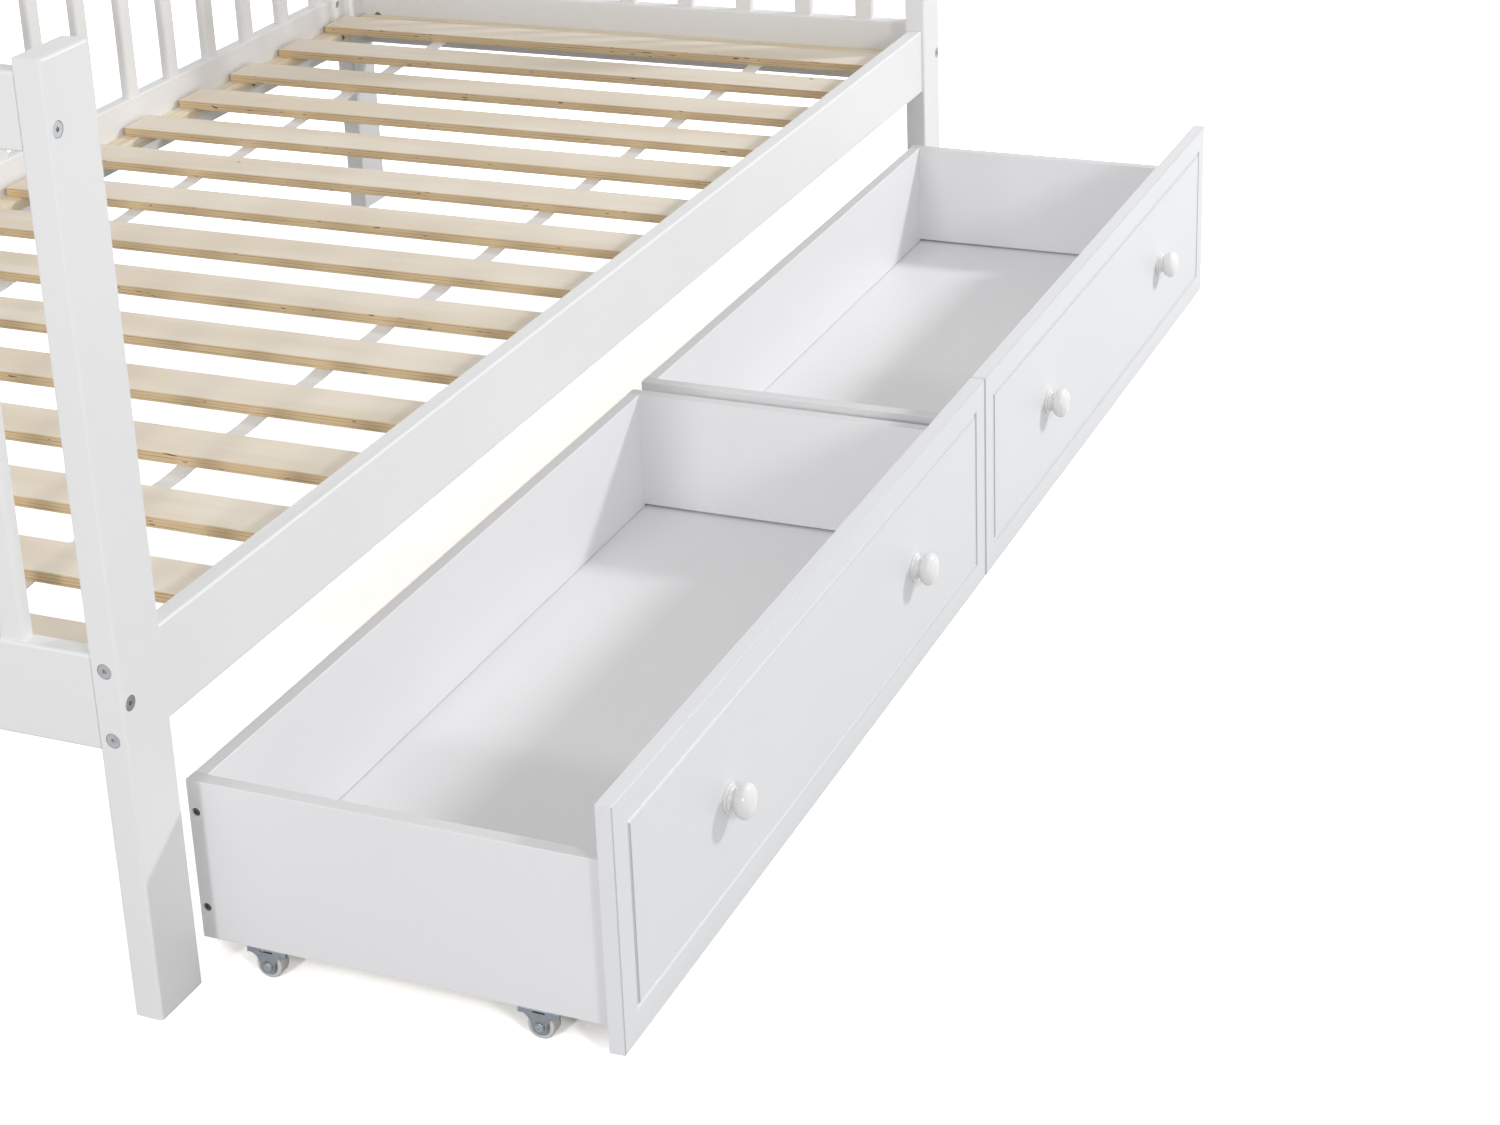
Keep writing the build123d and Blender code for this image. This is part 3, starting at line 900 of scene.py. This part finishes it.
def painted_groove_shade(tree, coords, tone):
    """Painted shade on the bevel and in the routed line: slanted faces drawn grey, darkest at the rim.
    """
    lean = add(tree, "ShaderNodeSeparateXYZ", links={"Vector": coords.outputs["Normal"]})
    facing = add(tree, "ShaderNodeMath", links={0: lean.outputs["Y"]}, operation="ABSOLUTE")
    off_face = add(
        tree,
        "ShaderNodeMapRange",
        {"From Min": 0.93, "From Max": 0.97, "To Min": 1.0, "To Max": 0.0},
        {"Value": facing.outputs[0]},
    )
    off_edge = add(
        tree,
        "ShaderNodeMapRange",
        {"From Min": 0.2, "From Max": 0.4},
        {"Value": facing.outputs[0]},
    )
    facet = add(
        tree,
        "ShaderNodeMath",
        links={0: off_face.outputs["Result"], 1: off_edge.outputs["Result"]},
        operation="MULTIPLY",
    )
    place = add(tree, "ShaderNodeSeparateXYZ", links={"Vector": coords.outputs["Object"]})
    front_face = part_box("left_drawer_front")[0].y
    rim_depth = 0.6 * mm
    inner_depth = 1.0 * mm
    inside = add(
        tree,
        "ShaderNodeMapRange",
        {"From Min": front_face + rim_depth, "From Max": front_face + inner_depth},
        {"Value": place.outputs["Y"]},
    )
    # Painted shade: slanted faces get a greyer tone, darker near the front face than deeper in
    groove_shade = add(
        tree,
        "ShaderNodeMix",
        {6: linear("BFC1C3"), 7: linear("D2D3D5")},
        {0: inside.outputs["Result"]},
        data_type="RGBA",
    )
    return add(
        tree,
        "ShaderNodeMix",
        links={0: facet.outputs[0], 6: tone, 7: groove_shade.outputs[2]},
        data_type="RGBA",
    ).outputs[2]


def painted_top_shade(tree, coords, tone):
    """Painted shade: faces of the sides that point up, their top edges, are drawn a shade greyer."""
    lean = add(tree, "ShaderNodeSeparateXYZ", links={"Vector": coords.outputs["Normal"]})
    on_top = add(
        tree,
        "ShaderNodeMapRange",
        {"From Min": 0.8, "From Max": 0.9},
        {"Value": lean.outputs["Z"]},
    )
    # Painted shade on every face that points up
    return add(
        tree,
        "ShaderNodeMix",
        {7: linear("DCDCDD")},
        {0: on_top.outputs["Result"], 6: tone},
        data_type="RGBA",
    ).outputs[2]


def foil_board(name, pale, shade, roughness, trim=None):
    """Melamine foil on board: even white, a fine pressed grain, no direction, and a trim if asked."""
    finish, tree, coords = new_finish(name)
    # The foil's grain of about 1 mm is drawn at 2 mm so that it shows
    pressed = add(
        tree,
        "ShaderNodeTexNoise",
        {"Scale": 1 / (2 * mm), "Detail": 2.0},
        {"Vector": coords.outputs["Object"]},
    )
    patches = add(
        tree,
        "ShaderNodeTexNoise",
        {"Scale": 1 / (240 * mm), "Detail": 2.0},
        {"Vector": coords.outputs["Object"]},
    )
    tone = add(
        tree,
        "ShaderNodeMix",
        {6: linear(shade), 7: linear(pale)},
        {0: patches.outputs["Fac"]},
        data_type="RGBA",
    ).outputs[2]
    if trim:
        tone = trim(tree, coords, tone)
    sheen = add(
        tree,
        "ShaderNodeMapRange",
        {"To Min": roughness - 0.05, "To Max": roughness + 0.07},
        {"Value": pressed.outputs["Fac"]},
    )
    skin = add(
        tree,
        "ShaderNodeBump",
        {"Strength": 0.15, "Distance": 0.05 * mm},
        {"Height": pressed.outputs["Fac"]},
    )
    foil = add(
        tree,
        "ShaderNodeBsdfPrincipled",
        {"IOR": 1.5},
        {
            "Base Color": tone,
            "Roughness": sheen.outputs["Result"],
            "Normal": skin.outputs["Normal"],
        },
    )
    add(tree, "ShaderNodeOutputMaterial", links={"Surface": foil.outputs["BSDF"]})
    return finish


front_foil = foil_board("satin_foil_on_front", "E6E7E9", "E1E2E4", 0.4, painted_groove_shade)
# The sides' top edges carry painted shade
side_foil = foil_board("melamine_foil_on_side", "EBEBED", "E6E6E8", 0.4, painted_top_shade)
back_foil = foil_board("melamine_foil_on_back", "EBEBED", "E6E6E8", 0.4)
bottom_foil = foil_board("melamine_on_hardboard", "F1F1F2", "EEEEEF", 0.32)
side_screw_sink = 0.6 * mm
side_screw_height = 2 * mm
side_screw_edge = 31 * mm
for drawer in ("left_drawer", "right_drawer"):
    dress(front_foil, f"{drawer}_front")
    dress(side_foil, f"{drawer}_left_side", f"{drawer}_right_side")
    dress(back_foil, f"{drawer}_back")
    dress(bottom_foil, f"{drawer}_bottom")
    dress(crosswise_pine, f"{drawer}_castor_battens")

    back_low, back_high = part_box(f"{drawer}_back")
    side_screw_seats = []
    for panel, outward in (("left_side", -1), ("right_side", 1)):
        low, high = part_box(f"{drawer}_{panel}")
        outer_x = low.x if outward < 0 else high.x
        head_x = outer_x - outward * (side_screw_sink + side_screw_height)
        for head_z in (low.z + side_screw_edge, high.z - side_screw_edge):
            side_screw_seats.append(
                ((head_x, (back_low.y + back_high.y) / 2, head_z), (outward, 0, 0))
            )
    drive_screws(
        f"{drawer}_side_screws",
        side_screw_seats,
        drawer,
        screw_zinc,
        diameter=7.8 * mm,
        height=side_screw_height,
        recess=1.9 * mm,
        hexagon=True,
    )

# Knobs.
# Turned beech, lacquered glossy white: two beads at the foot, a waist for the fingers and a domed head.
# A machine screw through the drawer front holds each one from inside.


def gloss_lacquer():
    """White lacquer: smooth and glossy, with a clear coat and only a trace of unevenness."""
    finish, tree, coords = new_finish("white_gloss_lacquer")
    waves = add(
        tree,
        "ShaderNodeTexNoise",
        {"Scale": 1 / (5 * mm), "Detail": 1.0},
        {"Vector": coords.outputs["Object"]},
    )
    tone = add(
        tree,
        "ShaderNodeMix",
        {6: linear("EAEAEA"), 7: linear("F0F0EF")},
        {0: waves.outputs["Fac"]},
        data_type="RGBA",
    )
    skin = add(
        tree,
        "ShaderNodeBump",
        {"Strength": 0.1, "Distance": 0.05 * mm},
        {"Height": waves.outputs["Fac"]},
    )
    lacquer = add(
        tree,
        "ShaderNodeBsdfPrincipled",
        {"Roughness": 0.16, "IOR": 1.5, "Coat Weight": 0.6, "Coat Roughness": 0.05},
        {"Base Color": tone.outputs[2], "Normal": skin.outputs["Normal"]},
    )
    add(tree, "ShaderNodeOutputMaterial", links={"Surface": lacquer.outputs["BSDF"]})
    return finish


def turned(outline, steps):
    """A mesh turned round Z from an outline of (radius, height) points, closed and facing outwards."""
    shape = bmesh.new()
    ring = [shape.verts.new((radius, 0, height)) for radius, height in outline]
    edges = [shape.edges.new(pair) for pair in zip(ring, ring[1:])]
    bmesh.ops.spin(
        shape,
        geom=ring + edges,
        axis=(0, 0, 1),
        cent=(0, 0, 0),
        angle=math.tau,
        steps=steps,
    )
    bmesh.ops.remove_doubles(shape, verts=shape.verts, dist=0.001 * mm)
    bmesh.ops.recalc_face_normals(shape, faces=shape.faces)
    mesh = bpy.data.meshes.new("turned")
    shape.to_mesh(mesh)
    shape.free()
    return mesh


def bend(start, first_pull, last_pull, end, points):
    """Points along a curve from start to end, pulled towards two handles, in (radius, height)."""
    corners = [Vector((*corner, 0)) for corner in (start, first_pull, last_pull, end)]
    return [tuple(point[:2]) for point in interpolate_bezier(*corners, points)]


def knob_outline(head_radius, projection):
    """Outline of one knob from its foot to the top of its dome, in metres."""
    foot = 14 * mm
    bead = 2.5 * mm
    bead_round = 0.6 * mm
    crease = 0.1 * mm
    upper_foot = 12 * mm
    upper_bulge = 0.3 * mm
    upper_start = upper_foot - 0.5 * mm
    upper_end = upper_foot - 0.9 * mm
    upper_low = bead + 2 * crease
    waist = 9.5 * mm
    waist_height = 8.5 * mm
    waist_pull = 1.5 * mm
    rim_height = 17 * mm
    fullness = 0.55
    outline = [(0, 0), (foot - bead_round, 0)]
    outline += bend((foot - bead_round, 0), (foot, 0), (foot, bead), (foot - bead_round, bead), 7)
    outline += [(upper_start, bead + crease)]
    outline += bend(
        (upper_start, upper_low),
        (upper_foot + upper_bulge, upper_low),
        (upper_foot + upper_bulge, 2 * bead),
        (upper_end, 2 * bead),
        7,
    )
    outline += bend(
        (upper_end, 2 * bead),
        (waist + bead_round, 2 * (bead + crease)),
        (waist, waist_height - waist_pull),
        (waist, waist_height),
        8,
    )
    outline += bend(
        (waist, waist_height),
        (waist + fullness * (head_radius - waist), waist_height),
        (head_radius, rim_height - fullness * (rim_height - waist_height)),
        (head_radius, rim_height),
        10,
    )
    outline += bend(
        (head_radius, rim_height),
        (head_radius, rim_height + fullness * (projection - rim_height)),
        (fullness * head_radius, projection),
        (0, projection),
        12,
    )
    return [point for number, point in enumerate(outline) if number == 0 or point != outline[number - 1]]


def knob_tree():
    """One turned knob set on every seat."""
    tree, start, stop = new_tree("knobs", ("Knob", "Object"), ("Finish", "Material"))
    knob = add(tree, "GeometryNodeObjectInfo", links={"Object": start.outputs["Knob"]})
    close_tree(tree, start, stop, place_on_seats(tree, start, knob.outputs["Geometry"]))
    return tree


knob_lacquer = gloss_lacquer()
knob_maker = knob_tree()
knob_steps = 48
for drawer in ("left_drawer", "right_drawer"):
    low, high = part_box(f"{drawer}_knobs")
    head_radius = (high.z - low.z) / 2
    knob_z = (low.z + high.z) / 2
    knob_places = (low.x + head_radius, high.x - head_radius)
    knob_mesh = turned(knob_outline(head_radius, high.y - low.y), knob_steps)
    pattern = bpy.data.objects.new("knob_pattern", knob_mesh)
    knobs = grow(
        f"{drawer}_turned_knobs",
        seats([((x, high.y, knob_z), (0, -1, 0)) for x in knob_places]),
        knob_maker,
        {"Knob": pattern, "Finish": knob_lacquer},
        drawer,
    )
    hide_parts(f"{drawer}_knobs")
    bpy.data.objects.remove(pattern)
    inner_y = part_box(f"{drawer}_front")[1].y
    drive_screws(
        f"{drawer}_knob_screws",
        [((x, inner_y, knob_z), (0, 1, 0)) for x in knob_places],
        drawer,
        bolt_zinc,
        diameter=8 * mm,
        height=2.2 * mm,
        recess=1.4 * mm,
    )

# Castor forks.
# Each is one strip of zinc-plated sheet folded to a U: a plate screwed under the drawer's side, and two
# flared cheeks with a steel rivet through them as the axle.
castor_zinc = zinc_plate("blue_zinc_on_sheet", "A7ADB4", "8C9299", 0.34)
plate_screw_spread = 15.5 * mm
castor_sheet = 1.5 * mm
wheel_play = 0.5 * mm
rivet_head = 1.4 * mm
rivet_cap = 0.9 * mm
rivet_proud = 0.2 * mm
castor_wheels = {}
for drawer in ("left_drawer", "right_drawer"):
    dress(castor_zinc, f"{drawer}_castor_forks")
    plate_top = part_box(f"{drawer}_castor_forks")[1].z
    plate_screw_seats = []
    rivet_seats = []
    for row in ("front", "back"):
        for side in ("left", "right"):
            wheel_name = f"{drawer}_{row}_{side}_wheel"
            low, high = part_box(wheel_name)
            castor_wheels[wheel_name] = f"{drawer}_{row}_{side}_roller"
            middle = (low + high) / 2
            for step in (-1, 1):
                seat = (middle.x, middle.y + step * plate_screw_spread, plate_top - castor_sheet)
                plate_screw_seats.append((seat, (0, 0, -1)))
            reach = middle.x - low.x + wheel_play + castor_sheet + rivet_head - rivet_cap + rivet_proud
            for step in (-1, 1):
                rivet_seats.append(((middle.x + step * reach, middle.y, middle.z), (step, 0, 0)))
    drive_screws(
        f"{drawer}_rivet_caps",
        rivet_seats,
        drawer,
        bolt_zinc,
        diameter=8.4 * mm,
        height=rivet_cap,
        recess=1.3 * mm,
        hexagon=True,
    )
    drive_screws(
        f"{drawer}_castor_screws",
        plate_screw_seats,
        drawer,
        bolt_zinc,
        diameter=7 * mm,
        height=2 * mm,
        recess=1.2 * mm,
    )

# Castor wheels.
# Moulded grey polypropylene: a rounded tread, a thin web between rim and hub, and a plain bore that
# runs on the rivet.


def moulded_plastic():
    """Grey polypropylene as it comes from the mould: even, slightly waxy, with a fine matt skin."""
    finish, tree, coords = new_finish("grey_moulded_polypropylene")
    skin_noise = add(
        tree,
        "ShaderNodeTexNoise",
        {"Scale": 1 / (1.2 * mm), "Detail": 2.0},
        {"Vector": coords.outputs["Object"]},
    )
    flow = add(
        tree,
        "ShaderNodeTexNoise",
        {"Scale": 1 / (9 * mm), "Detail": 1.0},
        {"Vector": coords.outputs["Object"]},
    )
    tone = add(
        tree,
        "ShaderNodeMix",
        {6: linear("C8C8C7"), 7: linear("D8D8D6")},
        {0: flow.outputs["Fac"]},
        data_type="RGBA",
    )
    skin = add(
        tree,
        "ShaderNodeBump",
        {"Strength": 0.2, "Distance": 0.06 * mm},
        {"Height": skin_noise.outputs["Fac"]},
    )
    plastic = add(
        tree,
        "ShaderNodeBsdfPrincipled",
        {"Roughness": 0.42, "IOR": 1.49},
        {"Base Color": tone.outputs[2], "Normal": skin.outputs["Normal"]},
    )
    add(tree, "ShaderNodeOutputMaterial", links={"Surface": plastic.outputs["BSDF"]})
    return finish


def wheel_outline(radius, half_width):
    """Closed outline of the wheel's section as (radius, place along the axle) points."""
    bore = 2.56 * mm
    hub = 5 * mm
    rim = radius - 3.5 * mm
    web = half_width - 2 * mm
    draft = 0.3 * mm
    edge = 1.8 * mm
    edge_pull = 0.45
    half = [(bore, half_width), (hub, half_width)]
    half += [(hub + draft, web), (rim - draft, web), (rim, half_width - draft)]
    half += bend(
        (radius - edge, half_width),
        (radius - edge_pull * edge, half_width),
        (radius, half_width - (1 - edge_pull) * edge),
        (radius, half_width - edge),
        6,
    )
    mirrored = [(away, -along) for away, along in reversed(half)]
    return half + mirrored + [half[0]]


wheel_plastic = moulded_plastic()
wheel_steps = 56
for wheel_name, roller in castor_wheels.items():
    low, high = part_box(wheel_name)
    wheel_mesh = turned(wheel_outline((high.z - low.z) / 2, (high.x - low.x) / 2), wheel_steps)
    on_axle = Matrix.Translation((low + high) / 2) @ Matrix.Rotation(math.pi / 2, 4, "Y")
    wheel_mesh.transform(on_axle)
    smooth(wheel_mesh)
    wheel_mesh.materials.append(wheel_plastic)
    wheel = bpy.data.objects.new(f"{wheel_name}_moulded", wheel_mesh)
    bpy.context.scene.collection.objects.link(wheel)
    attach(wheel, roller)
    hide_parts(wheel_name)

# Studio: a pale floor, a small soft lamp at the right front, two more at the left, a low one behind
# that lifts the back, even light from all round, and the camera. The front lamps follow the shadows of
# knobs, drawer walls and legs.


def studio_floor():
    """Matt floor: white to the camera, but it takes a shadow and throws little light back."""
    finish, tree, _ = new_finish("pale_studio_floor")
    thrown_back = 0.42
    mirrored_white = 1.0
    seen_white = 2.4
    rays = add(tree, "ShaderNodeLightPath")
    mirrored = add(
        tree,
        "ShaderNodeMix",
        {6: (*[thrown_back] * 3, 1), 7: (*[mirrored_white] * 3, 1)},
        {0: rays.outputs["Is Glossy Ray"]},
        data_type="RGBA",
    )
    tone = add(
        tree,
        "ShaderNodeMix",
        {7: (*[seen_white] * 3, 1)},
        {0: rays.outputs["Is Camera Ray"], 6: mirrored.outputs[2]},
        data_type="RGBA",
    )
    matt = add(tree, "ShaderNodeBsdfDiffuse", links={"Color": tone.outputs[2]})
    add(tree, "ShaderNodeOutputMaterial", links={"Surface": matt.outputs["BSDF"]})
    return finish


floor_size = 60.0
floor_mesh = bpy.data.meshes.new("floor")
corner = floor_size / 2
floor_mesh.from_pydata(
    [(-corner, -corner, 0), (corner, -corner, 0), (corner, corner, 0), (-corner, corner, 0)],
    [],
    [(0, 1, 2, 3)],
)
floor_mesh.materials.append(studio_floor())
floor = bpy.data.objects.new("floor", floor_mesh)
bpy.context.scene.collection.objects.link(floor)

room = bpy.data.worlds.new("studio")
room.use_nodes = True
room.node_tree.nodes.clear()
level_sky = 0.82
high_sky = 0.5
sky_way = add(room.node_tree, "ShaderNodeTexCoord")
sky_height = add(room.node_tree, "ShaderNodeSeparateXYZ", links={"Vector": sky_way.outputs["Generated"]})
sky_level = add(
    room.node_tree,
    "ShaderNodeMapRange",
    {"To Min": level_sky, "To Max": high_sky},
    {"Value": sky_height.outputs["Z"]},
)
seen_rays = add(room.node_tree, "ShaderNodeLightPath")
seen_first = add(
    room.node_tree,
    "ShaderNodeMath",
    links={0: seen_rays.outputs["Is Camera Ray"], 1: seen_rays.outputs["Is Glossy Ray"]},
    operation="MAXIMUM",
)
seen_all = add(
    room.node_tree,
    "ShaderNodeMath",
    links={0: seen_first.outputs[0], 1: seen_rays.outputs["Is Transmission Ray"]},
    operation="MAXIMUM",
)
room_level = add(
    room.node_tree,
    "ShaderNodeMapRange",
    {"To Max": 1.0},
    {"Value": seen_all.outputs[0], "To Min": sky_level.outputs["Result"]},
)
sky = add(
    room.node_tree,
    "ShaderNodeBackground",
    {"Color": (1, 1, 1, 1)},
    {"Strength": room_level.outputs["Result"]},
)
add(room.node_tree, "ShaderNodeOutputWorld", links={"Surface": sky.outputs["Background"]})
bpy.context.scene.world = room


def soft_lamp(name, place, aim, size, watts):
    """A round softbox of a given width, turned towards a point."""
    light = bpy.data.lights.new(name, "AREA")
    light.shape = "DISK"
    light.size = size
    light.energy = watts
    lamp = bpy.data.objects.new(name, light)
    lamp.location = place
    lamp.rotation_mode = "QUATERNION"
    lamp.rotation_quaternion = (Vector(aim) - Vector(place)).to_track_quat("-Z", "Y")
    bpy.context.scene.collection.objects.link(lamp)


lamp_aim = (-0.1, 0.0, 0.2)
soft_lamp("key", (2.5, -3.45, 2.25), lamp_aim, size=0.4, watts=84.0)
soft_lamp("left_fill", (-5.5, -0.05, 2.0), lamp_aim, size=0.3, watts=64.0)
soft_lamp("front_fill", (-3.6, -4.2, 2.3), lamp_aim, size=0.8, watts=56.0)
soft_lamp("back_fill", (0.8, 5.5, 0.7), lamp_aim, size=1.5, watts=60.0)

image_width = 1500
image_height = 1125
focal_pixels = 2895.8
optical_centre = (638.7, 354.9)
image_centre = (image_width / 2, image_height / 2)
camera_place = Vector((-2.7471, -1.5596, 1.4095))
camera_sight = Vector((0.84173, 0.399509, -0.363157))
camera_roll = math.radians(-2.9875)
lens = bpy.data.cameras.new("photo_camera")
lens.sensor_fit = "HORIZONTAL"
lens.sensor_width = 36.0
lens.lens = focal_pixels * lens.sensor_width / image_width
lens.shift_x = (image_centre[0] - optical_centre[0]) / image_width
lens.shift_y = (optical_centre[1] - image_centre[1]) / image_width
lens.clip_end = 200.0
camera = bpy.data.objects.new("photo_camera", lens)
camera.location = camera_place
camera.rotation_mode = "QUATERNION"
camera.rotation_quaternion = camera_sight.to_track_quat("-Z", "Y") @ Quaternion((0, 0, 1), camera_roll)
bpy.context.scene.collection.objects.link(camera)
bpy.context.scene.camera = camera
bpy.context.scene.view_settings.view_transform = "Standard"
